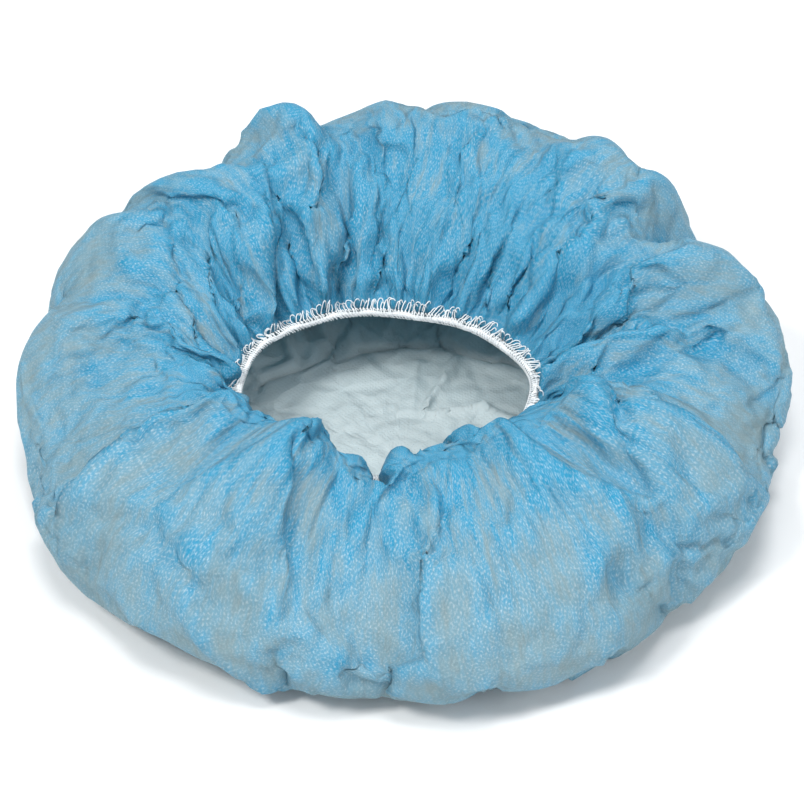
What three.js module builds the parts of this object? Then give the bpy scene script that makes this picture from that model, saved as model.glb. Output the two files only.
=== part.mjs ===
// Disposable bouffant cap (hairnet): one round sheet of spunbond non-woven, gathered on an elastic edge.
// It lies on its crown with the mouth up. Millimetres, +Z up, -Y is the front, the floor is at z = 0.
import * as THREE from "three";

const TURN = 2 * Math.PI;

// Driving dimensions.
const WALL = 1.2; // the cloth with its crumple
const GAP = 0.4; // between the cloth's gathered edge and the elastic
const MOUTH = { x: -7, y: -9, halfWidth: 59, halfDepth: 50, height: 43 };
const BAND = { width: 3.6, height: 2.4, sides: 8, steps: 96 };
const AROUND = 120; // facets round the cap
const ROWS = { slope: 7, shoulder: 5, flank: 4, base: 2 }; // facets along each stretch of a meridian
const CREASE_BASE = 0.28; // a pleat's height at the mouth, as a share of its full height

// The cap's broad shape. Each row is a meridian: its direction from +X, the radius and height of the
// billow's top, the radius and height of its widest point, and the radius where it meets the floor.
const SECTIONS = [
  { deg: 2, crest: 100, top: 60, outer: 148, girth: 36, foot: 120 },
  { deg: 14, crest: 104, top: 68, outer: 150, girth: 40, foot: 122 },
  { deg: 28, crest: 102, top: 70, outer: 131, girth: 42, foot: 114 },
  { deg: 42, crest: 106, top: 79, outer: 145, girth: 44, foot: 114 },
  { deg: 60, crest: 102, top: 81, outer: 136, girth: 42, foot: 110 },
  { deg: 76, crest: 104, top: 86, outer: 140, girth: 44, foot: 110 },
  { deg: 96, crest: 100, top: 84, outer: 134, girth: 42, foot: 108 },
  { deg: 116, crest: 104, top: 82, outer: 138, girth: 42, foot: 110 },
  { deg: 130, crest: 100, top: 76, outer: 132, girth: 42, foot: 110 },
  { deg: 142, crest: 104, top: 74, outer: 137, girth: 40, foot: 114 },
  { deg: 156, crest: 104, top: 70, outer: 149, girth: 38, foot: 120 },
  { deg: 172, crest: 100, top: 64, outer: 147, girth: 36, foot: 122 },
  { deg: 188, crest: 96, top: 57, outer: 147, girth: 34, foot: 122 },
  { deg: 202, crest: 92, top: 54, outer: 148, girth: 32, foot: 122 },
  { deg: 216, crest: 84, top: 67, outer: 150, girth: 30, foot: 122 },
  { deg: 232, crest: 76, top: 70, outer: 148, girth: 30, foot: 120 },
  { deg: 246, crest: 74, top: 67, outer: 146, girth: 30, foot: 120 },
  { deg: 257, crest: 75, top: 62, outer: 146, girth: 30, foot: 118 },
  { deg: 266, crest: 78, top: 52, outer: 146, girth: 30, foot: 118 },
  { deg: 275, crest: 75, top: 63, outer: 148, girth: 30, foot: 118 },
  { deg: 286, crest: 74, top: 69, outer: 150, girth: 30, foot: 120 },
  { deg: 302, crest: 75, top: 68, outer: 146, girth: 30, foot: 118 },
  { deg: 318, crest: 77, top: 71, outer: 144, girth: 32, foot: 120 },
  { deg: 332, crest: 88, top: 67, outer: 145, girth: 34, foot: 120 },
  { deg: 348, crest: 98, top: 55, outer: 146, girth: 36, foot: 120 },
];

// The pleats: each runs from a direction at the mouth to a direction at the widest point, with a half
// width in degrees, a height square to the cloth and how far past the billow's top it lasts.
const PLEATS = [
  { from: 356, to: 4, width: 5, rise: 4, lasts: 0.7 },
  { from: 12, to: 19, width: 4, rise: 6, lasts: 0.9 },
  { from: 24, to: 30, width: 4, rise: -5, lasts: 0.8 },
  { from: 34, to: 38, width: 4, rise: 4, lasts: 0.7 },
  { from: 50, to: 50, width: 5, rise: 3, lasts: 0.6 },
  { from: 62, to: 61, width: 5, rise: -4, lasts: 0.7 },
  { from: 72, to: 72, width: 4, rise: 4, lasts: 0.8 },
  { from: 84, to: 86, width: 4, rise: -4, lasts: 0.8 },
  { from: 93, to: 94, width: 4, rise: 3, lasts: 0.7 },
  { from: 104, to: 108, width: 4, rise: -4, lasts: 0.8 },
  { from: 114, to: 116, width: 5, rise: 5, lasts: 0.8 },
  { from: 127, to: 127, width: 4, rise: -4, lasts: 0.7 },
  { from: 138, to: 139, width: 5, rise: 5, lasts: 0.6 },
  { from: 152, to: 153, width: 5, rise: 5, lasts: 0.8 },
  { from: 166, to: 165, width: 5, rise: -5, lasts: 0.6 },
  { from: 180, to: 177, width: 6, rise: 4, lasts: 0.5 },
  { from: 198, to: 193, width: 7, rise: -6, lasts: 0.9 },
  { from: 217, to: 209, width: 6, rise: 8, lasts: 1.0 },
  { from: 231, to: 221, width: 5, rise: -3, lasts: 1.0 },
  { from: 244, to: 238, width: 6, rise: 5, lasts: 1.1 },
  { from: 256, to: 253, width: 4, rise: -3, lasts: 1.0 },
  { from: 277, to: 273, width: 5, rise: 5, lasts: 1.0 },
  { from: 289, to: 287, width: 5, rise: -3, lasts: 1.3 },
  { from: 301, to: 301, width: 5, rise: 5, lasts: 0.8 },
  { from: 312, to: 315, width: 5, rise: -4, lasts: 1.1 },
  { from: 326, to: 332, width: 6, rise: 8, lasts: 0.8 },
  { from: 344, to: 350, width: 6, rise: -7, lasts: 0.8 },
];

// A column of the sections' table at any direction, by Catmull-Rom through its rows, round the cap.
function around(column, angle) {
  const deg = ((THREE.MathUtils.radToDeg(angle) % 360) + 360) % 360;
  const count = SECTIONS.length;
  const next = SECTIONS.findIndex((row) => row.deg > deg);
  const at = (i) => SECTIONS[(i + count) % count];
  const end = next < 0 ? 0 : next;
  const [before, low, high, after] = [at(end - 2), at(end - 1), at(end), at(end + 1)];
  const between = (a, b) => (b.deg - a.deg + 360) % 360;
  const span = between(low, high);
  const u = (((deg - low.deg + 360) % 360) / span);
  const slopeLow = ((high[column] - before[column]) / (between(before, low) + span)) * span;
  const slopeHigh = ((after[column] - low[column]) / (span + between(high, after))) * span;
  const u2 = u * u;
  const u3 = u2 * u;
  return (
    (2 * u3 - 3 * u2 + 1) * low[column] +
    (u3 - 2 * u2 + u) * slopeLow +
    (3 * u2 - 2 * u3) * high[column] +
    (u3 - u2) * slopeHigh
  );
}

// The cloth's gathered edge: an oval round the mouth.
function edgePoint(angle, outwards = 0) {
  return new THREE.Vector3(
    MOUTH.x + (MOUTH.halfWidth + outwards) * Math.cos(angle),
    MOUTH.y + (MOUTH.halfDepth + outwards) * Math.sin(angle),
    MOUTH.height,
  );
}

// The smooth meridian at an angle: 0 to 1 rises from the mouth to the billow's top as a Bezier curve,
// 1 to 2 and 2 to 3 are quarter ellipses down to the widest point and on to the floor, and 3 to 4
// lies flat to the crown's centre.
function meridianPoint(angle, along) {
  const section = {};
  for (const column of ["crest", "top", "outer", "girth", "foot"])
    section[column] = around(column, angle);
  const { crest, top, outer, girth, foot } = section;
  const out = new THREE.Vector3(Math.cos(angle), Math.sin(angle), 0);
  const onMeridian = (radius, height) => out.clone().multiplyScalar(radius).setZ(height);
  if (along < 1) {
    const start = edgePoint(angle);
    const end = onMeridian(crest, top);
    const reach = Math.hypot(end.x - start.x, end.y - start.y);
    const steepness = THREE.MathUtils.clamp(1.2 - reach / 40, 0, 1);
    const rise = top - MOUTH.height;
    const leaving = out.clone().multiplyScalar(0.3 * reach * (1 - steepness) - 3 * steepness);
    leaving.z = rise * (0.35 + 0.45 * steepness);
    const arriving = out.clone().multiplyScalar(-Math.max(0.45 * reach, 7));
    return new THREE.CubicBezierCurve3(
      start,
      start.clone().add(leaving),
      end.clone().add(arriving),
      end,
    ).getPoint(along);
  }
  const turn = ((along % 1) * Math.PI) / 2;
  if (along < 2)
    return onMeridian(
      crest + (outer - crest) * Math.sin(turn),
      girth + (top - girth) * Math.cos(turn),
    );
  if (along < 3)
    return onMeridian(foot + (outer - foot) * Math.cos(turn), girth * (1 - Math.sin(turn)));
  return onMeridian(foot * (4 - along), 0);
}

// How far the pleats lift the cloth off the smooth meridian: a bell across each pleat, which grows
// from the mouth and dies away past the billow's top.
function pleatLift(angle, along) {
  const degrees = THREE.MathUtils.radToDeg(angle);
  let lift = 0;
  for (const { from, to, width, rise, lasts } of PLEATS) {
    const turned = ((((to - from) % 360) + 540) % 360) - 180;
    const middle = from + turned * THREE.MathUtils.smoothstep(along, 0, 2);
    const off = ((((degrees - middle) % 360) + 540) % 360) - 180;
    const growing = CREASE_BASE + (1 - CREASE_BASE) * THREE.MathUtils.smoothstep(along, 0.05, 0.8);
    const dying = 1 - THREE.MathUtils.smoothstep(along, 1 + 0.2 * lasts, 1.6 + lasts);
    lift += rise * growing * dying * Math.exp(-((off / width) ** 2));
  }
  return lift * THREE.MathUtils.smoothstep(along, -0.02, 0.12);
}

// Where along a meridian the rows of facets lie, from the mouth to just short of the centre.
function rowPlaces() {
  const places = [];
  Object.values(ROWS).forEach((count, stretch) => {
    for (let i = 0; i < count; i++) places.push(stretch + i / count);
  });
  return places;
}

// The cloth's outer face as rows of points from the mouth inwards, with the normals that carry it.
function outerFace() {
  const angles = Array.from({ length: AROUND }, (_, i) => (i / AROUND) * TURN);
  const step = 1e-3;
  return rowPlaces().map((along) =>
    angles.map((angle) => {
      const place = meridianPoint(angle, along);
      const across = meridianPoint(angle + step, along).sub(meridianPoint(angle - step, along));
      const low = Math.max(along - step, 0);
      const down = meridianPoint(angle, along + step).sub(meridianPoint(angle, low));
      const normal = down.cross(across).normalize();
      return place.addScaledVector(normal, pleatLift(angle, along));
    }),
  );
}

// A closed wall: the outer face, the same face set in by the wall's thickness, and the mouth's edge.
function clothGeometry() {
  const rows = outerFace();
  const points = [...rows.flat(), new THREE.Vector3(0, 0, 0)];
  const centre = points.length - 1;
  const at = (row, i) => row * AROUND + (i % AROUND);
  const faces = [];
  for (let i = 0; i < AROUND; i++) {
    for (let row = 0; row + 1 < rows.length; row++) {
      faces.push([at(row, i), at(row + 1, i), at(row + 1, i + 1)]);
      faces.push([at(row, i), at(row + 1, i + 1), at(row, i + 1)]);
    }
    faces.push([at(rows.length - 1, i), centre, at(rows.length - 1, i + 1)]);
  }
  const skin = new THREE.BufferGeometry().setFromPoints(points).setIndex(faces.flat());
  skin.computeVertexNormals();
  const normals = skin.getAttribute("normal");
  const inner = points.map((p, i) =>
    p.clone().addScaledVector(new THREE.Vector3().fromBufferAttribute(normals, i), -WALL),
  );
  const inside = faces.map(([a, b, c]) => [a, c, b].map((i) => i + points.length));
  const rim = [];
  for (let i = 0; i < AROUND; i++) {
    const [a, b] = [at(0, i), at(0, i + 1)];
    rim.push([a, b, b + points.length], [a, b + points.length, a + points.length]);
  }
  return new THREE.BufferGeometry()
    .setFromPoints([...points, ...inner])
    .setIndex([...faces, ...inside, ...rim].flat());
}

// The elastic: an oval section carried round the mouth, just inside the cloth's edge.
function bandGeometry() {
  const points = [];
  const faces = [];
  for (let i = 0; i < BAND.steps; i++) {
    const angle = (i / BAND.steps) * TURN;
    for (let j = 0; j < BAND.sides; j++) {
      const turn = (j / BAND.sides) * TURN;
      const across = -GAP - BAND.width / 2 + (BAND.width / 2) * Math.cos(turn);
      const point = edgePoint(angle, across);
      point.z += (BAND.height / 2) * Math.sin(turn) - WALL / 2;
      points.push(point);
      const at = (step, side) =>
        (step % BAND.steps) * BAND.sides + (side % BAND.sides);
      faces.push([at(i, j), at(i + 1, j), at(i + 1, j + 1)]);
      faces.push([at(i, j), at(i + 1, j + 1), at(i, j + 1)]);
    }
  }
  return new THREE.BufferGeometry().setFromPoints(points).setIndex(faces.flat());
}

function namedMesh(name, geometry, finish) {
  const mesh = new THREE.Mesh(geometry, new THREE.MeshStandardMaterial(finish));
  mesh.name = name;
  return mesh;
}

const cloth = namedMesh("cap_cloth", clothGeometry(), {
  color: 0x7db8cc,
  roughness: 0.8,
  metalness: 0,
  side: THREE.DoubleSide,
});
const band = namedMesh("elastic_band", bandGeometry(), {
  color: 0xf2f4f4,
  roughness: 0.85,
  metalness: 0,
});

// The origin is on the floor, under the middle of the cloth's box.
cloth.geometry.computeBoundingBox();
const middle = cloth.geometry.boundingBox.getCenter(new THREE.Vector3());
const cap = new THREE.Group();
cap.position.set(-middle.x, -middle.y, 0);
cap.add(cloth, band);

export default cap;
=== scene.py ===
"""A disposable bouffant cap, built piece by piece as a Blender add-on that is run as a script."""

import bpy
import numpy as np
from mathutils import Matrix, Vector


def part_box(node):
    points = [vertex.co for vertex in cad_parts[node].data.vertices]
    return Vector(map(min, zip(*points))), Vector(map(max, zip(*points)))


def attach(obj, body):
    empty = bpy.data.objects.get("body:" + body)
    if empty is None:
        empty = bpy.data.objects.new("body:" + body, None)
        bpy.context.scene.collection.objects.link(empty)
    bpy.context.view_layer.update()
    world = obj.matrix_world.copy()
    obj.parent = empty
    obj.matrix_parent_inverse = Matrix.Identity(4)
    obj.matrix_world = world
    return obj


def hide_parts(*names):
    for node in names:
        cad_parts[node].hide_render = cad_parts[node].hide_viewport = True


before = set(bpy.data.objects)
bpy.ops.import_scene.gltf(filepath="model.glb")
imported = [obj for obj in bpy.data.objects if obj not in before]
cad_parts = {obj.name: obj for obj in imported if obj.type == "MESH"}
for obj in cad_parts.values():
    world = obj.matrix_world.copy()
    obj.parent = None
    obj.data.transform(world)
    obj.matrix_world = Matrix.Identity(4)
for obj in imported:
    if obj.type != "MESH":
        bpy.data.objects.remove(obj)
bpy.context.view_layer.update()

bl_info = {
    "name": "Disposable bouffant cap",
    "version": (1, 0, 0),
    "blender": (4, 5, 0),
    "location": "3D View > Sidebar > Cap",
    "description": "Builds a gathered non-woven cap lying mouth up, with its overlocked elastic",
    "category": "Add Mesh",
}

TURN = 2 * np.pi
MM = 0.001

# The gathered edge, an oval ring (mm), and the flat sheet that the cap is cut from.
MOUTH = {"x": -7.0, "y": -9.0, "half_width": 59.0, "half_depth": 50.0, "height": 43.0}
BAND_INSET = 2.2
SHEET_RADIUS = 305.0

# How far in from the flat sheet's edge (mm) the rows reach the mouth, the billow's top, the widest
# point, the floor and the centre.
MERIDIAN_LENGTHS = (0, 60, 132, 186, 305)

# How far the mouth's oval wanders in and out (mm).
EDGE_WAVE = 0.9

# Fine gathers: how many, their height (mm), how far they reach along a meridian, and a seed.
GATHERS = ((58, 6.5, 0.85, 11), (37, 4.0, 1.0, 4))

# The cloth's grid, and the coarser grid, larger scale and number of frames of its simulation.
CLOTH_ROWS = 132
CLOTH_COLS = 352
SIM_ROWS = 86
SIM_COLS = 288
SIM_SCALE = 10.0
SIM_FRAMES = 26

# The puffs swell as the slack is let go, so they start this much smaller across and deep, and
# taller.
START_SHRINK = (0.07, 0.09, 0.0)
START_LIFT = 0.12

# How much of the broad shape is put back after the simulation, how broad it is (degrees) and how
# much taller it stands.
BROAD_SHARE = 0.85
BROAD_DEGREES = 8.0
FINAL_LIFT = 0.16

# Meridians round the cap: the billow's crest radius and height, its widest radius and that
# point's height, and the radius at which the cloth reaches the floor (mm).
SECTION_COLUMNS = ("deg", "crest", "top", "outer", "girth", "foot")
SECTIONS = (
    (2, 100, 60, 148, 36, 120),
    (14, 104, 68, 150, 40, 122),
    (28, 102, 70, 131, 42, 114),
    (42, 106, 79, 145, 44, 114),
    (60, 102, 81, 136, 42, 110),
    (76, 104, 86, 140, 44, 110),
    (96, 100, 84, 134, 42, 108),
    (116, 104, 82, 138, 42, 110),
    (130, 100, 76, 132, 42, 110),
    (142, 104, 74, 137, 40, 114),
    (156, 104, 70, 149, 38, 120),
    (172, 100, 64, 147, 36, 122),
    (188, 96, 57, 147, 34, 122),
    (202, 92, 54, 148, 32, 122),
    (216, 84, 67, 150, 30, 122),
    (232, 76, 70, 148, 30, 120),
    (246, 74, 67, 146, 30, 120),
    (257, 75, 62, 146, 30, 118),
    (266, 78, 52, 146, 30, 118),
    (275, 75, 63, 148, 30, 118),
    (286, 74, 69, 150, 30, 120),
    (302, 75, 68, 146, 30, 118),
    (318, 77, 71, 144, 32, 120),
    (332, 88, 67, 145, 34, 120),
    (348, 98, 55, 146, 36, 120),
)

# Pleats: direction at the mouth and at the widest point (degrees), half width (degrees),
# rise (mm), and how far past the crest each lasts.
PLEAT_COLUMNS = ("start", "end", "width", "rise", "lasts")
PLEATS = (
    (356, 4, 5, 4, 0.7),
    (12, 19, 4, 6, 0.9),
    (24, 30, 4, -5, 0.8),
    (34, 38, 4, 4, 0.7),
    (50, 50, 5, 3, 0.6),
    (62, 61, 5, -4, 0.7),
    (72, 72, 4, 4, 0.8),
    (84, 86, 4, -4, 0.8),
    (93, 94, 4, 3, 0.7),
    (104, 108, 4, -4, 0.8),
    (114, 116, 5, 5, 0.8),
    (127, 127, 4, -4, 0.7),
    (138, 139, 5, 5, 0.6),
    (152, 153, 5, 5, 0.8),
    (166, 165, 5, -5, 0.6),
    (180, 177, 6, 4, 0.5),
    (198, 193, 7, -6, 0.9),
    (217, 209, 6, 8, 1.0),
    (231, 221, 5, -3, 1.0),
    (244, 238, 6, 5, 1.1),
    (256, 253, 4, -3, 1.0),
    (277, 273, 5, 5, 1.0),
    (289, 287, 5, -3, 1.3),
    (301, 301, 5, 5, 0.8),
    (312, 315, 5, -4, 1.1),
    (326, 332, 6, 8, 0.8),
    (344, 350, 6, -7, 0.8),
)

# Pressed creases on the flat sheet, each a straight line between two places given by direction
# (degrees) and distance from the gathered edge (mm), with its width and rise (mm).
CREASE_COLUMNS = ("deg", "reach", "to_deg", "to_reach", "width", "rise")
CREASES = (
    (114, 8, 118, 85, 3.0, 3.0),
    (134, 8, 131, 80, 3.0, 2.5),
    (150, 6, 150, 78, 3.0, 3.0),
    (164, 6, 159, 90, 3.0, 2.5),
    (76, 10, 68, 80, 3.0, 3.0),
    (35, 8, 27, 90, 3.0, 3.0),
    (359, 8, 374, 95, 3.0, 3.0),
    (346, 10, 367, 95, 5.0, -4.0),
    (204, 6, 196, 95, 5.0, -4.0),
    (233, 89, 252, 159, 4.0, 3.0),
    (252, 70, 246, 120, 3.0, -2.5),
    (286, 85, 283, 175, 3.0, -2.5),
    (303, 88, 295, 170, 3.0, 2.5),
    (318, 70, 330, 130, 3.0, 2.5),
    (69, 238, 73, 277, 2.5, -4.0),
    (73, 277, 40, 258, 2.5, 3.6),
    (40, 258, 20, 248, 2.5, 3.0),
    (84, 240, 82, 270, 3.0, 1.4),
    (305, 112, 309, 122, 6.0, -7.0),
)


def columns(names, rows):
    """A table's columns by name, as arrays."""
    return dict(zip(names, np.array(rows, float).T))


SECTION = columns(SECTION_COLUMNS, SECTIONS)
PLEAT = columns(PLEAT_COLUMNS, PLEATS)
CREASE = columns(CREASE_COLUMNS, CREASES)


def band_offset():
    """How far the frame's origin lies from the tables' own, from the elastic's place."""
    low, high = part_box("elastic_band")
    return np.array(
        [
            (low[0] + high[0]) / 2 / MM - MOUTH["x"],
            (low[1] + high[1]) / 2 / MM - MOUTH["y"],
            0.0,
        ]
    )


# ---------------------------------------------------------------- shapes


def smoothstep(x, low, high):
    """0 below low, 1 above high, and 3t^2 - 2t^3 between."""
    t = np.clip((x - low) / (high - low), 0, 1)
    return t * t * (3 - 2 * t)


def wrap(degrees):
    """An angle brought between -180 and 180."""
    return (degrees + 180) % 360 - 180


def around(column, angle):
    """A column of the sections at any angle: Catmull-Rom through its rows, closed round the cap."""
    deg, values = SECTION["deg"], SECTION[column]
    count = len(deg)
    here = np.degrees(angle) % 360
    low = (np.searchsorted(deg, here, side="right") - 1) % count
    before, high, after = (low - 1) % count, (low + 1) % count, (low + 2) % count

    def between(a, b):
        return (deg[b] - deg[a]) % 360

    span = between(low, high)
    u = ((here - deg[low]) % 360) / span
    leaving = (values[high] - values[before]) / (between(before, low) + span) * span
    arriving = (values[after] - values[low]) / (span + between(high, after)) * span
    return (
        (2 * u**3 - 3 * u**2 + 1) * values[low]
        + (u**3 - 2 * u**2 + u) * leaving
        + (3 * u**2 - 2 * u**3) * values[high]
        + (u**3 - u**2) * arriving
    )


def edge_ring(angle, outwards=0.0):
    """The oval of the mouth, grown outwards: centre plus half axes times cosine and sine, a little
    uneven by two sine waves round it."""
    outwards = outwards + EDGE_WAVE * (np.sin(3 * angle + 1) + 0.6 * np.sin(8 * angle))
    return np.stack(
        [
            MOUTH["x"] + (MOUTH["half_width"] + outwards) * np.cos(angle),
            MOUTH["y"] + (MOUTH["half_depth"] + outwards) * np.sin(angle),
            MOUTH["height"] + 0 * angle,
        ],
        -1,
    )


def smooth_cap(angle, along):
    """The cap without folds. along 0 to 1 is a cubic Bezier from the mouth to the crest, 1 to 2
    and 2 to 3 are quarter ellipses to the widest point and on to the floor, 3 to 4 runs flat to
    the centre."""
    angle, along = np.broadcast_arrays(angle, along)
    crest, top, outer, girth, foot = (around(name, angle) for name in SECTION_COLUMNS[1:])
    out = np.stack([np.cos(angle), np.sin(angle), 0 * angle], -1)
    up = np.array([0.0, 0.0, 1.0])
    start = edge_ring(angle)
    end = out * crest[..., None] + up * top[..., None]
    reach = np.hypot(*np.moveaxis((end - start)[..., :2], -1, 0))
    steep = np.clip(1.2 - reach / 40, 0, 1)
    rise = top - MOUTH["height"]
    leave = start + out * (0.3 * reach * (1 - steep) - 3 * steep)[..., None]
    leave = leave + up * (rise * (0.35 + 0.45 * steep))[..., None]
    arrive = end - out * np.maximum(0.45 * reach, 7)[..., None]
    u = np.clip(along, 0, 1)[..., None]
    inner = (
        (1 - u) ** 3 * start
        + 3 * (1 - u) ** 2 * u * leave
        + 3 * (1 - u) * u * u * arrive
        + u**3 * end
    )
    over = np.clip(along - 1, 0, 1) * np.pi / 2
    under = np.clip(along - 2, 0, 1) * np.pi / 2
    radius = np.where(
        along < 2,
        crest + (outer - crest) * np.sin(over),
        np.where(along < 3, foot + (outer - foot) * np.cos(under), foot * (4 - along)),
    )
    height = np.where(
        along < 2,
        girth + (top - girth) * np.cos(over),
        np.where(along < 3, girth * (1 - np.sin(under)), 0),
    )
    outside = out * radius[..., None] + up * height[..., None]
    return np.where((along < 1)[..., None], inner, outside)


def normals_of(points):
    """Unit normals of a grid that is closed round its columns: down the rows crossed with across
    the columns."""
    across = np.roll(points, -1, 1) - np.roll(points, 1, 1)
    down = np.gradient(points, axis=0)
    normal = np.cross(down, across)
    return normal / np.maximum(np.linalg.norm(normal, axis=-1, keepdims=True), 1e-9)


def pleats(angle, along):
    """Lift of the large pleats: a bell across each one, growing from the mouth and dying past the
    crest, its middle turning from one direction to the other on the way."""
    grown = smoothstep(along, 0.05, 0.8)
    lift = 0 * (angle + along)
    for start, end, width, rise, lasts in zip(*(PLEAT[name] for name in PLEAT_COLUMNS)):
        middle = start + wrap(end - start) * smoothstep(along, 0, 2)
        dying = 1 - smoothstep(along, 1 + 0.2 * lasts, 1.6 + lasts)
        bell = np.exp(-((wrap(np.degrees(angle) - middle) / width) ** 2))
        lift = lift + rise * (0.28 + 0.72 * grown) * dying * bell
    return lift * smoothstep(along, -0.02, 0.12)


def gathers(angle, along, count, height, reach, seed):
    """Lift of the fine gathers: narrow bells at uneven steps round the elastic, each with its own
    width, height, slant and length, alternately up and down. reach is their mean length."""
    pick = np.random.default_rng(seed)
    step = 360 / count
    middles = step * (np.arange(count) + pick.uniform(-0.32, 0.32, count))
    widths = step * pick.uniform(0.32, 0.55, count)
    rises = height * pick.uniform(0.45, 1.0, count) * np.where(np.arange(count) % 2, -1, 1)
    slants = pick.uniform(-5, 5, count)
    ends = reach * pick.uniform(0.6, 1.4, count)
    lift = 0 * (angle + along)
    for middle, width, rise, slant, end in zip(middles, widths, rises, slants, ends):
        place = middle + slant * along
        bell = np.exp(-((wrap(np.degrees(angle) - place) / (width * (1 + 0.8 * along))) ** 2))
        lift = lift + rise * bell * (1 - smoothstep(along, 0.3 * end, 1.3 * end))
    return lift * smoothstep(along, -0.05, 0.12)


def creases(flat):
    """Lift of the pressed creases at places on the flat sheet in mm: the rise times e to the minus
    distance from the crease's line over its width."""

    def place(deg, reach):
        radius = SHEET_RADIUS - reach
        return radius * np.array([np.cos(np.radians(deg)), np.sin(np.radians(deg))])

    lift = np.zeros(flat.shape[:2])
    for deg, reach, to_deg, to_reach, width, rise in zip(*(CREASE[n] for n in CREASE_COLUMNS)):
        start, line = place(deg, reach), place(to_deg, to_reach) - place(deg, reach)
        share = np.clip(((flat - start) @ line) / (line @ line), 0, 1)
        away = np.linalg.norm(flat - start - share[..., None] * line, axis=-1)
        lift += rise * np.exp(-away / width)
    return lift


def row_places(rows):
    """Places along a meridian, closest together near the mouth: equal steps of the flat sheet."""
    share = np.linspace(0, 1, rows + 1)[:-1]
    lengths = np.array(MERIDIAN_LENGTHS) / SHEET_RADIUS
    return np.interp(share, lengths, np.arange(len(MERIDIAN_LENGTHS)))


def quads(rows, cols):
    """Faces of a grid closed round its columns, its last row joined to one centre point."""
    row, col = np.mgrid[0 : rows - 1, 0:cols]
    after = (col + 1) % cols
    faces = np.stack(
        [row * cols + col, (row + 1) * cols + col, (row + 1) * cols + after, row * cols + after],
        -1,
    ).reshape(-1, 4)
    last = (rows - 1) * cols
    i = np.arange(cols)
    centre = np.full(cols, rows * cols)
    tip = np.stack([last + i, centre, last + (i + 1) % cols], -1)
    return faces.tolist() + tip.tolist()


def mesh_object(name, points, faces, smooth=True):
    """A mesh object at the origin from points in metres and faces."""
    mesh = bpy.data.meshes.new(name)
    mesh.from_pydata(np.asarray(points).reshape(-1, 3).tolist(), [], faces)
    mesh.update()
    if smooth:
        mesh.shade_smooth()
    piece = bpy.data.objects.new(name, mesh)
    bpy.context.scene.collection.objects.link(piece)
    return piece


def weigh(piece, name, weights):
    """A vertex group whose weights are rounded to hundredths, one call for each level."""
    group = piece.vertex_groups.new(name=name)
    levels = np.round(weights, 2)
    for level in np.unique(levels):
        group.add(np.flatnonzero(levels == level).tolist(), float(level), "REPLACE")
    return group.name


def crumple(points, hold, slack, growth, frames):
    """The sheet's own slack let go: a cloth simulation without gravity in which every thread is
    longer than its place by growth times slack, so that the cloth buckles into creases. hold is
    how firmly each point is kept at its place."""
    rows, cols = points.shape[:2]
    flat = np.vstack([points.reshape(-1, 3), points[-1].mean(0)[None]])
    sheet = mesh_object("crumpling", flat * MM * SIM_SCALE, quads(rows, cols))
    cloth = sheet.modifiers.new("cloth", "CLOTH")
    settings = cloth.settings
    settings.vertex_group_mass = weigh(sheet, "hold", np.append(hold.ravel(), 1.0))
    settings.vertex_group_shrink = weigh(sheet, "firm", np.append(1 - slack.ravel(), 1.0))
    settings.pin_stiffness = 1.0
    settings.quality = 6
    settings.mass = 0.3
    settings.air_damping = 2.0
    settings.tension_stiffness = 60
    settings.compression_stiffness = 60
    settings.shear_stiffness = 10
    settings.bending_stiffness = 0.1
    settings.shrink_min = -growth
    settings.shrink_max = 0.0
    settings.effector_weights.gravity = 0
    cloth.collision_settings.use_collision = False
    cloth.collision_settings.use_self_collision = False
    scene = bpy.context.scene
    cloth.point_cache.frame_start = 1
    cloth.point_cache.frame_end = frames
    for step in range(1, frames + 1):
        scene.frame_set(step)
    settled = sheet.evaluated_get(bpy.context.evaluated_depsgraph_get())
    found = np.empty(len(flat) * 3)
    settled.data.vertices.foreach_get("co", found)
    scene.frame_set(1)
    bpy.data.objects.remove(sheet, do_unlink=True)
    return (found.reshape(-1, 3)[:-1] / (MM * SIM_SCALE)).reshape(rows, cols, 3)



def hold_of(angle, along):
    """How firmly the simulation keeps each point: fully at the elastic, loosely in the puffs and
    more on the floor and in the crown."""
    firm = 1 - smoothstep(along, 0.0, 0.12)
    floor = 0.10 * smoothstep(along, 2.6, 3.2) + 0.5 * smoothstep(along, 3.3, 3.6)
    return np.clip(firm + 0.09 + floor + 0 * angle, 0, 1)


def slack_of(angle, along):
    """How much of the slack each point has: all of it in the puffs and little in the crown."""
    return 1 - 0.85 * smoothstep(along, 3.15, 3.45) + 0 * angle


def resample(grid, rows, cols):
    """A grid carried to another number of rows and columns by cubic splines through its points,
    closed round the columns and ending at its first and last rows."""

    def cubic(values, places):
        low = np.floor(places).astype(int)
        t = (places - low)[:, None, None]
        p = [values[low + k] for k in (0, 1, 2, 3)]
        third = 3 * (p[1] - p[2]) + p[3] - p[0]
        second = 2 * p[0] - 5 * p[1] + 4 * p[2] - p[3] + t * third
        return p[1] + 0.5 * t * (p[2] - p[0] + t * second)

    count, around_count = grid.shape[:2]
    padded = np.concatenate([2 * grid[:1] - grid[1:2], grid, grid[-1:], grid[-1:]])
    tall = cubic(padded, np.linspace(0, count - 1, rows))
    closed = np.concatenate([tall[:, -1:], tall, tall[:, :3]], 1).transpose(1, 0, 2)
    return cubic(closed, np.arange(cols) / cols * around_count).transpose(1, 0, 2)


def billow(points, share):
    """The points raised above the mouth's height by a share of what they stand above it."""
    high = np.maximum(points[..., 2:] - MOUTH["height"], 0)
    return points + share * high * np.array([0.0, 0.0, 1.0])


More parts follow.
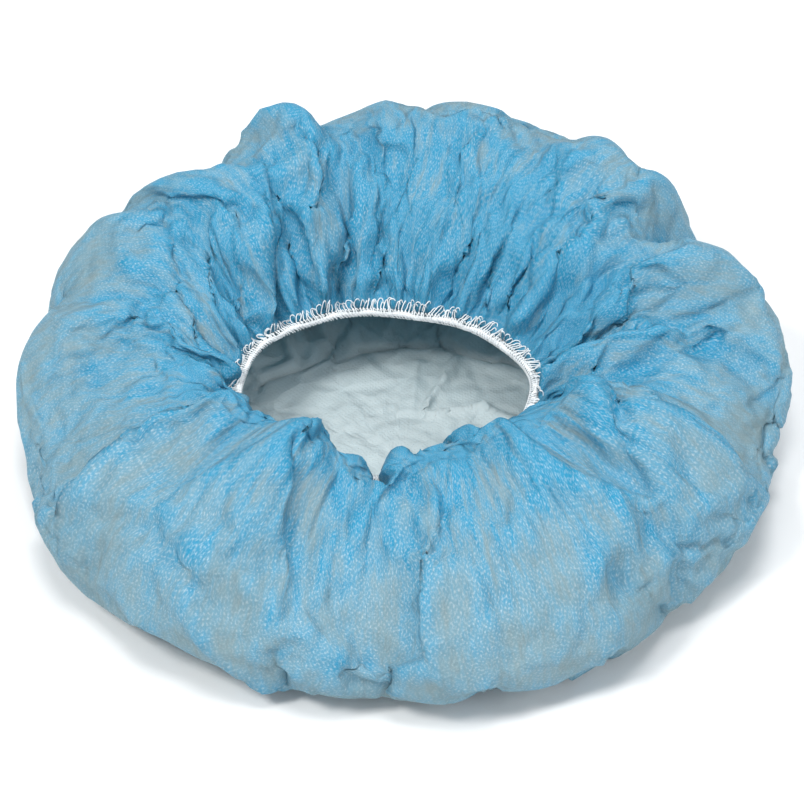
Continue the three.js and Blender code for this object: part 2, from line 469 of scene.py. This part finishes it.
def broad(values, degrees):
    """What is broad in a closed grid: each row's waves round the cap, each multiplied by e to the
    minus half the square of its number times an angle."""
    waves = np.arange(values.shape[1] // 2 + 1) * np.radians(degrees)
    kept = np.fft.rfft(values, axis=1) * np.exp(-0.5 * waves**2)[None, :, None]
    return np.fft.irfft(kept, values.shape[1], axis=1)


def cap_points(slack):
    """The cloth's points in metres: the smooth cap, lifted along its normals by pleats and
    gathers and crumpled by its slack. The cap's broad shape is then put back, which keeps the
    narrow folds, and the creases are pressed in and the cloth is laid on the floor."""
    angle = np.arange(SIM_COLS)[None] / SIM_COLS * TURN
    along = row_places(SIM_ROWS)[:, None]
    points = smooth_cap(angle, along)
    lift = pleats(angle, along)
    for count, height, reach, seed in GATHERS:
        lift = lift + gathers(angle, along, count, height, reach, seed)
    points = points + normals_of(points) * lift[..., None]
    folded = points
    points = points * (1 - np.array(START_SHRINK) * smoothstep(along, 0.6, 1.6)[..., None])
    points = billow(points, START_LIFT)
    points = crumple(points, hold_of(angle, along), slack_of(angle, along), slack, SIM_FRAMES)
    weight = BROAD_SHARE * smoothstep(along, 0.02, 0.2) * (1 - smoothstep(along, 2.4, 3.1))
    change = broad(billow(folded, FINAL_LIFT) - points, BROAD_DEGREES)
    points = points + weight[..., None] * change
    points = resample(points, CLOTH_ROWS, CLOTH_COLS)
    points = points + normals_of(points) * creases(flat_places() / MM)[..., None]
    points[..., 2] = 0.4 + np.abs(points[..., 2] - 0.4)
    return (points + band_offset()) * MM


def flat_places():
    """Each point's place on the flat sheet in metres: direction times distance from its centre."""
    angle = np.arange(CLOTH_COLS)[None] / CLOTH_COLS * TURN
    radius = SHEET_RADIUS * (1 - np.arange(CLOTH_ROWS) / CLOTH_ROWS)[:, None]
    return np.stack([radius * np.cos(angle), radius * np.sin(angle)], -1) * MM


def gathering(points):
    """How tightly the cloth is gathered round the cap, from 0 to 1: the flat sheet's girth over
    the girth it lies in, less one, over two and a half, smoothed along the meridians."""
    rows = CLOTH_ROWS
    girths = np.linalg.norm(np.roll(points, -1, 1) - points, axis=-1)
    window = np.ones(9) / 9
    girths = np.stack([np.convolve(np.r_[g[-4:], g, g[:4]], window, "valid") for g in girths])
    flat = TURN * SHEET_RADIUS * MM * (1 - np.arange(rows) / rows)[:, None] / CLOTH_COLS
    return np.clip((flat / np.maximum(girths, 1e-6) - 1) / 2.5, 0, 1)


def ridges(points):
    """How sharply the cloth is creased, from 0 to 1: the distance along its normal from each point
    to the mean of the points three steps away on all sides, blurred a little."""
    near = (
        np.roll(points, 3, 1)
        + np.roll(points, -3, 1)
        + np.roll(points, 3, 0)
        + np.roll(points, -3, 0)
    ) / 4
    normal = normals_of(points)
    bend = np.abs(((points - near) * normal).sum(-1)) / MM
    bend[:3] = bend[3]
    bend[-3:] = 0
    for axis in (0, 1, 0, 1):
        bend = (2 * bend + np.roll(bend, 1, axis) + np.roll(bend, -1, axis)) / 4
    return np.tanh(bend / 2.2)


def put_attribute(mesh, name, values):
    """A number on each vertex, for the materials."""
    layer = mesh.attributes.new(name, "FLOAT", "POINT")
    layer.data.foreach_set("value", np.ascontiguousarray(values, np.float32).ravel())


def put_uv(mesh, places):
    """A UV map from a place for each vertex."""
    corners = np.empty(len(mesh.loops), np.int32)
    mesh.loops.foreach_get("vertex_index", corners)
    layer = mesh.uv_layers.new(name="flat_sheet")
    layer.data.foreach_set("uv", np.ascontiguousarray(places[corners], np.float32).ravel())


def tube_rings(path, radius, sides, closed):
    """A tube along each of many paths: at each point a ring of that radius in the plane of the
    path's two cross directions. path is (tubes, points, 3), radius a number or an array."""
    if closed:
        ahead = np.roll(path, -1, 1) - np.roll(path, 1, 1)
    else:
        ahead = np.gradient(path, axis=1)
    ahead = ahead / np.maximum(np.linalg.norm(ahead, axis=-1, keepdims=True), 1e-12)
    hint = np.where(np.abs(ahead[..., 2:3]) > 0.9, [1.0, 0.0, 0.0], [0.0, 0.0, 1.0])
    side = np.cross(ahead, hint)
    side = side / np.linalg.norm(side, axis=-1, keepdims=True)
    lift = np.cross(side, ahead)
    turn = np.arange(sides) / sides * TURN
    ring = side[..., None, :] * np.cos(turn)[:, None] + lift[..., None, :] * np.sin(turn)[:, None]
    reach = np.broadcast_to(np.asarray(radius, float), path.shape[:2])
    return path[..., None, :] + ring * reach[..., None, None]


def tube_faces(tubes, points, sides, closed):
    """Quads of many tubes of rings, with a cap of one polygon on each open end."""
    tube, ring, side = np.mgrid[0:tubes, 0 : points if closed else points - 1, 0:sides]
    after = (ring + 1) % points
    beside = (side + 1) % sides
    base = tube * points * sides
    quads_of = np.stack(
        [
            base + ring * sides + side,
            base + ring * sides + beside,
            base + after * sides + beside,
            base + after * sides + side,
        ],
        -1,
    ).reshape(-1, 4)
    faces = quads_of.tolist()
    if not closed:
        first = np.arange(tubes)[:, None] * points * sides + np.arange(sides)[None]
        last = first + (points - 1) * sides
        faces += first[:, ::-1].tolist() + last.tolist()
    return faces


def on_sheet(points, normals, angle, distance, height):
    """Places on the cloth at a distance in mm from its edge, lifted along its normal: the grid's
    rows and columns blended between the four nearest points."""
    row = np.clip(distance / (SHEET_RADIUS / CLOTH_ROWS), 0, CLOTH_ROWS - 2)
    col = (angle / TURN * CLOTH_COLS) % CLOTH_COLS
    low, left = np.floor(row).astype(int), np.floor(col).astype(int) % CLOTH_COLS
    down, across = (row - low)[..., None], (col - np.floor(col))[..., None]
    right = (left + 1) % CLOTH_COLS

    def blend(grid):
        upper = grid[low, left] * (1 - across) + grid[low, right] * across
        lower = grid[low + 1, left] * (1 - across) + grid[low + 1, right] * across
        return upper * (1 - down) + lower * down

    return blend(points) + blend(normals) * height[..., None] * MM


def overlock_paths(sizes, points):
    """The thread's closed loops round the elastic and the chains along it. Each loop goes over the
    elastic, out over the cloth at an uneven reach and slant, and back beneath. Two chains run
    along the elastic, weaving up and down."""
    pick = np.random.default_rng(5)
    girth = np.pi * (MOUTH["half_width"] + MOUTH["half_depth"]) * MM
    count = int(girth / sizes.stitch_step)
    base = (np.arange(count) + pick.uniform(-0.2, 0.2, count)) / count * TURN
    reach = sizes.stitch_reach / MM * pick.uniform(0.65, 1.2, count)
    slant = pick.uniform(-0.5, 0.5, count) * TURN / count
    turn = np.arange(18) / 18 * TURN
    share = (1 - np.cos(turn)) / 2
    inner = BAND_INSET + 1.5
    out = share[None] * (reach[:, None] + inner) - inner
    width = np.sin(turn)[None] * pick.uniform(0.55, 0.95, count)[:, None]
    angle = base[:, None] + slant[:, None] * share[None] + width * TURN / count
    side = np.sin(turn)[None] + 0 * out
    offset = band_offset()
    ring = edge_ring(angle, out)
    ring[..., 2] += 1.55 * side - 0.6
    ring = (ring + offset) * MM
    loft = np.where(side > 0, 0.55 + 0.5 * pick.uniform(0, 1, count)[:, None], 0.5) * side
    tip = smoothstep(share, 0.8, 1.0)[None] * 0.35
    cloth = on_sheet(points, normals_of(points), angle, np.maximum(out, 0), loft + tip)
    over = smoothstep(out, -0.6, 1.0)[..., None]
    loops = ring * (1 - over) + cloth * over
    steps = count * 8
    along = np.arange(steps) / steps * TURN
    chains = []
    for inset, phase in ((-BAND_INSET - 1.2, 0.0), (-BAND_INSET + 1.2, np.pi)):
        weave = np.sin(count * along + phase)
        chain = edge_ring(along, inset + 0.4 * weave)
        chain[:, 2] += 0.5 * np.cos(count * along + phase) + 0.35
        chains.append(chain)
    return loops, (np.stack(chains) + offset) * MM


# ---------------------------------------------------------------- materials


class Wire:
    """A socket that adds Math nodes when it is used in an expression."""

    def __init__(self, finish, socket):
        self.finish = finish
        self.socket = socket

    def math(self, operation, *values):
        """A Math node with these values."""
        return self.finish.node("ShaderNodeMath", {"operation": operation}, dict(enumerate(values)))

    def __add__(self, other):
        return self.math("ADD", self, other)

    def __radd__(self, other):
        return self.math("ADD", other, self)

    def __sub__(self, other):
        return self.math("SUBTRACT", self, other)

    def __rsub__(self, other):
        return self.math("SUBTRACT", other, self)

    def __mul__(self, other):
        return self.math("MULTIPLY", self, other)

    def __rmul__(self, other):
        return self.math("MULTIPLY", other, self)

    def clipped(self):
        """The value kept between 0 and 1."""
        return self.math("MAXIMUM", self.math("MINIMUM", self, 1.0), 0.0)

    def ramp(self, low, high):
        """A smooth step from 0 at low to 1 at high."""
        settings = {"interpolation_type": "SMOOTHSTEP"}
        places = {"Value": self, "From Min": low, "From Max": high}
        return self.finish.node("ShaderNodeMapRange", settings, places)


class Finish:
    """A material and the nodes that are added to it."""

    def __init__(self, name):
        self.material = bpy.data.materials.new(name)
        self.material.use_nodes = True
        self.tree = self.material.node_tree
        self.tree.nodes.clear()

    def node(self, kind, settings=None, inputs=None, output=0):
        """A node of this kind with its settings set first and its inputs set or linked. Gives one
        of its outputs."""
        made = self.tree.nodes.new(kind)
        for name, value in (settings or {}).items():
            setattr(made, name, value)
        for name, value in (inputs or {}).items():
            if isinstance(value, Wire):
                self.tree.links.new(value.socket, made.inputs[name])
            else:
                made.inputs[name].default_value = value
        return Wire(self, made.outputs[output])

    def mix(self, share, first, second):
        """A colour between two, by a share."""
        settings = {"data_type": "RGBA"}
        return self.node("ShaderNodeMix", settings, {0: share, 6: first, 7: second}, 2)

    def noise(self, vector, scale, detail=3.0, rough=0.5, plane="3D"):
        """Cloudy noise about 0.5 in a volume, or with plane "2D" on a flat place."""
        shape = {"Vector": vector, "Scale": scale, "Detail": detail, "Roughness": rough}
        return self.node("ShaderNodeTexNoise", {"noise_dimensions": plane}, shape)

    def surface(self, shader):
        """Ends the tree with this shader."""
        ending = self.tree.nodes.new("ShaderNodeOutputMaterial")
        self.tree.links.new(shader.socket, ending.inputs["Surface"])
        return self.material


def colour(values):
    """A colour with full opacity for a socket."""
    return (*values, 1.0)


def cloth_finish(looks):
    """Sheer spunbond: a grey-blue film that deepens to blue where it is gathered, with clouded
    fibres and a diamond grid of small bonded dots. Painted shade deepens it to blue along the
    creases, the crown is painted pale for the light that comes through the walls onto it, and
    painted glints lighten the bonded dots."""
    finish = Finish("nonwoven_cloth")
    flat = finish.node("ShaderNodeUVMap", {"uv_map": "flat_sheet"})
    gathered = finish.node("ShaderNodeAttribute", {"attribute_name": "gathered"}, output=2)
    crease = finish.node("ShaderNodeAttribute", {"attribute_name": "crease"}, output=2)
    crown = finish.node("ShaderNodeAttribute", {"attribute_name": "crown"}, output=2)
    clouds = finish.noise(flat, 16.0, 3.0, 0.55, "2D")
    fibres = finish.noise(flat, 1100.0, 1.0, 0.7, "2D")
    heading = finish.node("ShaderNodeVectorMath", {"operation": "NORMALIZE"}, {0: flat})
    slow = finish.node("ShaderNodeVectorMath", {"operation": "SCALE"}, {0: flat, "Scale": 3.0})
    polar = finish.node("ShaderNodeVectorMath", {"operation": "ADD"}, {0: heading, 1: slow})
    streaks = finish.noise(polar, 17.0, 1.0, 0.6, "2D")
    fine = finish.noise(polar, 52.0, 1.0, 0.6, "2D")
    turned = finish.node("ShaderNodeMapping", {}, {"Vector": flat, "Rotation": (0.0, 0.0, 0.785)})
    grid = {"Vector": turned, "Scale": 1 / looks.dot_pitch, "Randomness": 0.15}
    flat_cells = {"voronoi_dimensions": "2D"}
    dots = 1 - finish.node("ShaderNodeTexVoronoi", flat_cells, grid).ramp(0.16, 0.36)
    # Painted shade: the cloth darkens to deep blue along its creases, where shade falls. The
    # deepening where it is gathered is the real colour of many layers, and the streaks and clouds
    # are its own uneven tone.
    density_and_shade = gathered * 1.2 + (streaks - 0.5) * (gathered * 1.2 + 0.5) + crease * 0.95
    density_and_shade = density_and_shade + (fine - 0.5) * (gathered * 1.0 + 0.4)
    # Painted light: the crown is kept off the deep blue and given a nearly white colour, which
    # stands for the light that comes through the sheer walls onto it inside the mouth.
    density_and_shade = (density_and_shade + (clouds - 0.5) * 0.8 - 0.06 - crown * 0.7).clipped()
    thin_and_painted_crown_light = finish.mix(crown, colour(looks.cloth_thin), colour(looks.crown_painted_light))
    tone = finish.mix(density_and_shade, thin_and_painted_crown_light, colour(looks.cloth_gathered_and_crease_shade))
    # Painted glints: the bonded dots are lightened towards near white. The lightening by the fibres
    # noise is the cloth's own grain.
    grain_and_glint = ((fibres - 0.48) * 2.2 + dots * 0.35).clipped()
    tone = finish.mix(grain_and_glint * 0.6, tone, colour(looks.cloth_bright_and_glint))
    rough = 0.60 - dots * 0.22
    bent = finish.node("ShaderNodeVectorMath", {"operation": "ADD"}, {0: flat, 1: clouds * 0.012})
    edges = {"feature": "DISTANCE_TO_EDGE", "voronoi_dimensions": "2D"}
    cells = finish.node("ShaderNodeTexVoronoi", edges, {"Vector": bent, "Scale": 52.0})
    height = cells.ramp(0.0, 0.3) * 2.8 + fibres * 0.42 - dots * 0.2
    relief = {"Strength": 0.6, "Distance": 0.0006, "Height": height}
    bump = finish.node("ShaderNodeBump", {}, relief)
    film = finish.node(
        "ShaderNodeBsdfPrincipled",
        {},
        {"Base Color": tone, "Roughness": rough, "Normal": bump, "Specular IOR Level": 0.45},
    )
    glow = finish.node("ShaderNodeBsdfTranslucent", {}, {"Color": colour(looks.cloth_through)})
    body = finish.node("ShaderNodeMixShader", {}, {0: 0.35, 1: film, 2: glow})
    clear = finish.node("ShaderNodeBsdfTransparent")
    cover = (density_and_shade * 0.7 + crown * 0.45 + (clouds - 0.5) * 0.5 + looks.cover).clipped()
    return finish.surface(finish.node("ShaderNodeMixShader", {}, {0: cover, 1: clear, 2: body}))


def thread_finish(looks):
    """White spun thread: matt, with soft fibres across it."""
    finish = Finish("white_thread")
    place = finish.node("ShaderNodeTexCoord", {}, output=3)
    fibres = finish.noise(place, 1600.0, 4.0, 0.7)
    soft = finish.noise(place, 160.0, 2.0, 0.5)
    share = (fibres * 0.6 + soft * 0.4).clipped()
    tone = finish.mix(share, colour(looks.thread_shade), colour(looks.thread_white))
    relief = {"Strength": 0.5, "Distance": 0.0001, "Height": fibres}
    bump = finish.node("ShaderNodeBump", {}, relief)
    return finish.surface(
        finish.node(
            "ShaderNodeBsdfPrincipled",
            {},
            {
                "Base Color": tone,
                "Roughness": 0.78 + soft * 0.1,
                "Normal": bump,
                "Sheen Weight": 0.25,
                "Sheen Roughness": 0.5,
            },
        )
    )


def floor_finish(looks):
    """A plain pale matt floor, very slightly uneven in tone."""
    finish = Finish("pale_floor")
    place = finish.node("ShaderNodeTexCoord", {}, output=3)
    tone = finish.mix(
        finish.noise(place, 5.0, 2.0) * 0.3, colour(looks.floor_tone), (0.86, 0.87, 0.88, 1.0)
    )
    return finish.surface(
        finish.node("ShaderNodeBsdfPrincipled", {}, {"Base Color": tone, "Roughness": 0.7})
    )


# ---------------------------------------------------------------- settings


class CapSizes(bpy.types.PropertyGroup):
    """Sizes of the cap's small parts."""

    slack: bpy.props.FloatProperty(
        name="Slack",
        description="How much longer the cloth is than the shape it lies in, which crumples it",
        default=0.23,
        min=0.0,
        max=0.3,
    )
    cloth_thickness: bpy.props.FloatProperty(
        name="Cloth thickness",
        description="Thickness of the non-woven cloth with its loft",
        default=0.0003,
        unit="LENGTH",
        subtype="DISTANCE",
    )
    elastic_width: bpy.props.FloatProperty(
        name="Elastic width",
        description="Width of the elastic inside the overlocked edge",
        default=0.0019,
        unit="LENGTH",
        subtype="DISTANCE",
    )
    stitch_step: bpy.props.FloatProperty(
        name="Stitch step",
        description="Distance from one overlock loop to the next",
        default=0.0013,
        unit="LENGTH",
        subtype="DISTANCE",
    )
    stitch_reach: bpy.props.FloatProperty(
        name="Stitch reach",
        description="How far the overlock loops lie out over the cloth",
        default=0.0026,
        unit="LENGTH",
        subtype="DISTANCE",
    )
    thread_width: bpy.props.FloatProperty(
        name="Thread width",
        description="Thickness of the overlock thread",
        default=0.00045,
        unit="LENGTH",
        subtype="DISTANCE",
    )


class CapLooks(bpy.types.PropertyGroup):
    """Colours and finish of the cap."""

    cloth_thin: bpy.props.FloatVectorProperty(
        name="Single cloth",
        description="Colour of the cloth where it lies single",
        default=(0.40, 0.535, 0.56),
        size=3,
        subtype="COLOR",
    )
    # Painted light: a nearly white colour painted on the crown for the light that comes through the
    # walls onto it.
    crown_painted_light: bpy.props.FloatVectorProperty(
        name="Crown cloth",
        description="Colour of the slack single cloth of the crown, seen through the mouth",
        default=(0.82, 0.92, 0.93),
        size=3,
        subtype="COLOR",
    )
    # Deep blue of the gathered cloth; the same colour is also painted along the creases as shade.
    cloth_gathered_and_crease_shade: bpy.props.FloatVectorProperty(
        name="Gathered cloth",
        description="Colour of the cloth where it is gathered and creased",
        default=(0.02, 0.37, 0.63),
        size=3,
        subtype="COLOR",
    )
    # Near white of the brightest fibres, also painted on the bonded dots as glints.
    cloth_bright_and_glint: bpy.props.FloatVectorProperty(
        name="Bright fibres",
        description="Colour of the brightest fibres and bonded dots",
        default=(0.80, 0.91, 0.94),
        size=3,
        subtype="COLOR",
    )
    cloth_through: bpy.props.FloatVectorProperty(
        name="Light through cloth",
        description="Colour of the light that comes through the cloth",
        default=(0.30, 0.60, 0.70),
        size=3,
        subtype="COLOR",
    )
    cover: bpy.props.FloatProperty(
        name="Cover",
        description="Share of light that one face of single cloth stops",
        default=0.52,
        min=0.0,
        max=1.0,
        subtype="FACTOR",
    )
    dot_pitch: bpy.props.FloatProperty(
        name="Dot pitch",
        description="Distance between the bonded dots",
        default=0.0017,
        unit="LENGTH",
        subtype="DISTANCE",
    )
    thread_white: bpy.props.FloatVectorProperty(
        name="Thread",
        description="Colour of the thread and elastic",
        default=(0.96, 0.97, 0.97),
        size=3,
        subtype="COLOR",
    )
    thread_shade: bpy.props.FloatVectorProperty(
        name="Thread shade",
        description="Colour of the thread between its fibres",
        default=(0.78, 0.84, 0.87),
        size=3,
        subtype="COLOR",
    )
    floor_tone: bpy.props.FloatVectorProperty(
        name="Floor",
        description="Colour of the floor",
        default=(0.90, 0.90, 0.90),
        size=3,
        subtype="COLOR",
    )


# ---------------------------------------------------------------- operators


class CAP_OT_cloth(bpy.types.Operator):
    """Build the cap's gathered cloth"""

    bl_idname = "cap.cloth"
    bl_label = "Cloth"

    def execute(self, context):
        sizes, looks = context.scene.cap_sizes, context.scene.cap_looks
        points = cap_points(sizes.slack)
        centre = np.array([points[-1, :, axis].mean() for axis in range(3)])
        corners = np.vstack([points.reshape(-1, 3), centre[None]])
        cloth = mesh_object("cap_sheet", corners, quads(*points.shape[:2]))
        mesh = cloth.data
        put_uv(mesh, np.vstack([flat_places().reshape(-1, 2), np.zeros((1, 2))]))
        put_attribute(mesh, "gathered", np.append(gathering(points), 0.0))
        # How sharply the cloth is creased, which sets the painted shade along the creases.
        put_attribute(mesh, "crease", np.append(ridges(points), 0.0))
        # The crown's share, which sets where the crown's pale painted light goes.
        radius = np.append(np.hypot(*flat_places().reshape(-1, 2).T), 0.0)
        put_attribute(mesh, "crown", 1 - smoothstep(radius, 0.085, 0.125))
        mesh.materials.append(cloth_finish(looks))
        wall = cloth.modifiers.new("wall", "SOLIDIFY")
        wall.thickness = sizes.cloth_thickness
        wall.offset = -1.0
        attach(cloth, "root")
        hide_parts("cap_cloth")
        return {"FINISHED"}


class CAP_OT_elastic(bpy.types.Operator):
    """Build the elastic inside the edge"""

    bl_idname = "cap.elastic"
    bl_label = "Elastic"

    def execute(self, context):
        sizes, looks = context.scene.cap_sizes, context.scene.cap_looks
        steps = 520
        angle = np.arange(steps) / steps * TURN
        waver = 0.35 * np.sin(17 * angle + 1.3) + 0.25 * np.sin(31 * angle)
        path = edge_ring(angle, -BAND_INSET + waver)
        path[:, 2] += 0.35 * np.sin(23 * angle + 0.7) - 0.6
        path = (path + band_offset()) * MM
        radius = sizes.elastic_width / 2 * (1 + 0.10 * np.sign(np.sin(260 * angle)))
        rings = tube_rings(path[None], radius[None], 10, True)
        elastic = mesh_object("elastic_core", rings, tube_faces(1, steps, 10, True))
        elastic.data.materials.append(thread_finish(looks))
        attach(elastic, "root")
        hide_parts("elastic_band")
        return {"FINISHED"}


class CAP_OT_overlock(bpy.types.Operator):
    """Build the overlock thread loops round the elastic and out over the cloth"""

    bl_idname = "cap.overlock"
    bl_label = "Overlock thread"

    def execute(self, context):
        sizes, looks = context.scene.cap_sizes, context.scene.cap_looks
        cloth = bpy.data.objects["cap_sheet"]
        corners = np.empty(len(cloth.data.vertices) * 3)
        cloth.data.vertices.foreach_get("co", corners)
        points = corners.reshape(-1, 3)[:-1].reshape(CLOTH_ROWS, CLOTH_COLS, 3)
        loops, edging = overlock_paths(sizes, points)
        thread = sizes.thread_width / 2
        first = tube_rings(loops, thread, 6, True)
        second = tube_rings(edging, thread * 0.9, 6, True)
        faces = tube_faces(*loops.shape[:2], 6, True)
        more = tube_faces(*edging.shape[:2], 6, True)
        shift = first.reshape(-1, 3).shape[0]
        faces += [[i + shift for i in face] for face in more]
        points = np.vstack([first.reshape(-1, 3), second.reshape(-1, 3)])
        stitches = mesh_object("overlock_thread", points, faces)
        stitches.data.materials.append(thread_finish(looks))
        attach(stitches, "root")
        return {"FINISHED"}


def add_light(name, place, size, power, tone):
    """A round area light that faces the middle of the floor."""
    light = bpy.data.lights.new(name, "AREA")
    light.shape = "DISK"
    light.size = size
    light.energy = power
    light.color = tone
    lamp = bpy.data.objects.new(name, light)
    bpy.context.scene.collection.objects.link(lamp)
    lamp.location = place
    lamp.rotation_euler = (-lamp.location).to_track_quat("-Z", "Y").to_euler()


def add_camera():
    """The camera: its distance from a place above the floor, along a line at its elevation."""
    tilt = np.radians(CAMERA["elevation"])
    target = band_offset() * MM + np.array([0, 0, CAMERA["aim_height"]])
    back = np.array([0, -np.cos(tilt), np.sin(tilt)])
    lens = bpy.data.cameras.new("camera")
    lens.lens = CAMERA["lens"]
    lens.sensor_width = 36.0
    lens.clip_start = 0.01
    camera = bpy.data.objects.new("camera", lens)
    bpy.context.scene.collection.objects.link(camera)
    camera.location = target + back * CAMERA["distance"]
    camera.rotation_euler = (np.pi / 2 - tilt, 0, 0)
    return camera


class CAP_OT_stage(bpy.types.Operator):
    """Build the floor, the lights and the camera"""

    bl_idname = "cap.stage"
    bl_label = "Stage"

    def execute(self, context):
        scene, looks = context.scene, context.scene.cap_looks
        reach = 6.0
        corners = [(-reach, -reach, 0), (reach, -reach, 0), (reach, reach, 0), (-reach, reach, 0)]
        floor = mesh_object("floor", corners, [(0, 1, 2, 3)], smooth=False)
        floor.data.materials.append(floor_finish(looks))
        for name, place, size, power, tone in LIGHTS:
            add_light(name, place, size, power, tone)
        world = bpy.data.worlds.new("studio")
        scene.world = world
        world.use_nodes = True
        world.node_tree.nodes["Background"].inputs["Color"].default_value = (0.93, 0.96, 1.0, 1.0)
        world.node_tree.nodes["Background"].inputs["Strength"].default_value = WORLD_STRENGTH
        scene.view_settings.view_transform = "Standard"
        scene.cycles.transparent_max_bounces = 8
        scene.cycles.max_bounces = 3
        scene.cycles.diffuse_bounces = 2
        scene.cycles.transmission_bounces = 3
        scene.camera = add_camera()
        return {"FINISHED"}


class CAP_PT_panel(bpy.types.Panel):
    """The cap's settings and builders"""

    bl_idname = "CAP_PT_panel"
    bl_label = "Bouffant cap"
    bl_space_type = "VIEW_3D"
    bl_region_type = "UI"
    bl_category = "Cap"

    def draw(self, context):
        for group in (context.scene.cap_sizes, context.scene.cap_looks):
            box = self.layout.box()
            for name in group.__annotations__:
                box.prop(group, name)
        for operator in OPERATORS:
            self.layout.operator(operator.bl_idname)


OPERATORS = (CAP_OT_cloth, CAP_OT_elastic, CAP_OT_overlock, CAP_OT_stage)
CLASSES = (CapSizes, CapLooks, *OPERATORS, CAP_PT_panel)

# Lights: name, place (m), diameter (m), power (W), colour.
LIGHTS = (
    ("key", (-0.9, -0.9, 1.8), 0.5, 26, (1.0, 0.99, 0.97)),
    ("above", (0.0, -0.5, 1.8), 0.5, 12, (1.0, 1.0, 1.0)),
    ("fill", (1.3, -1.0, 1.1), 1.2, 10, (0.96, 0.98, 1.0)),
    ("back", (0.4, 1.4, 1.5), 1.0, 12, (1.0, 1.0, 1.0)),
)
WORLD_STRENGTH = 0.46
CAMERA = {"elevation": 42.0, "aim_height": 0.030, "distance": 1.3, "lens": 150.0}


def register():
    """Registers the classes and hangs the settings on the scene."""
    for cls in CLASSES:
        bpy.utils.register_class(cls)
    bpy.types.Scene.cap_sizes = bpy.props.PointerProperty(type=CapSizes)
    bpy.types.Scene.cap_looks = bpy.props.PointerProperty(type=CapLooks)


def unregister():
    """Takes away what register added."""
    del bpy.types.Scene.cap_looks
    del bpy.types.Scene.cap_sizes
    for cls in reversed(CLASSES):
        bpy.utils.unregister_class(cls)


def main():
    """Builds every piece and the stage."""
    register()
    bpy.ops.cap.cloth()
    bpy.ops.cap.elastic()
    bpy.ops.cap.overlock()
    bpy.ops.cap.stage()


if __name__ == "__main__":
    main()
